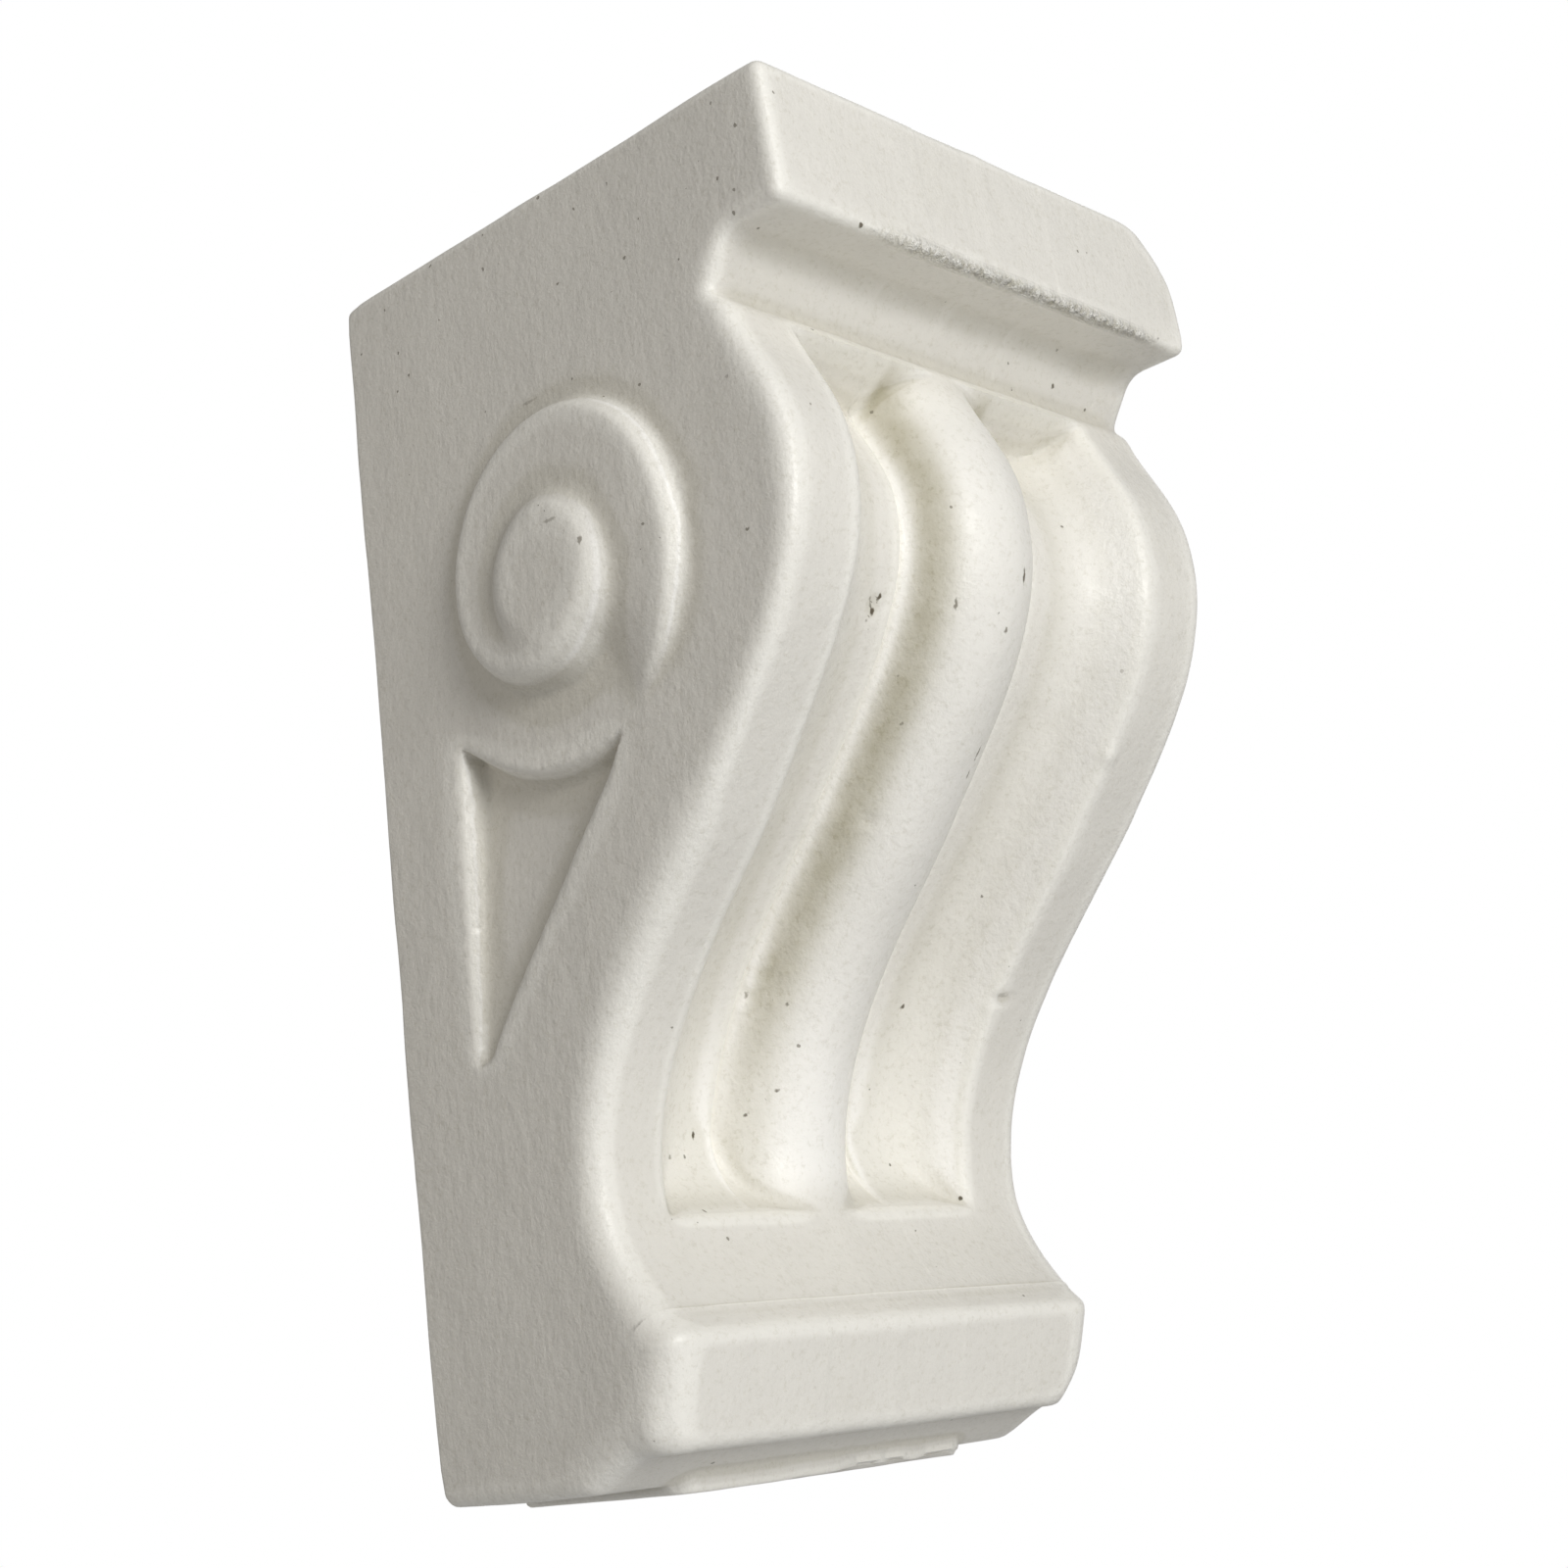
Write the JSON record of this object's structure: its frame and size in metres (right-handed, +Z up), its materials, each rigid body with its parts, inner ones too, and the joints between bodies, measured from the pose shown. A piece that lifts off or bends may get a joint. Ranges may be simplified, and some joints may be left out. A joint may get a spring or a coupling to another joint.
{
  "type": "scroll corbel",
  "caption": "Small cast plaster bracket with a square top slab, a fluted S-curved front and a raised scroll on each side, fixed to a wall to carry a shelf or a moulding.",
  "frame": {"origin": "middle of the flat back, halfway between the top and the bottom of the block", "axes": "+Z up, +Y into the wall out of the flat back, X across the width; the front faces -Y"},
  "size_m": [0.0852, 0.0761, 0.1511],
  "materials": {
    "plaster": "matte cast gypsum plaster"
  },
  "bodies": {
    "root": {"corbel": "plaster"}
  },
  "joints": []
}
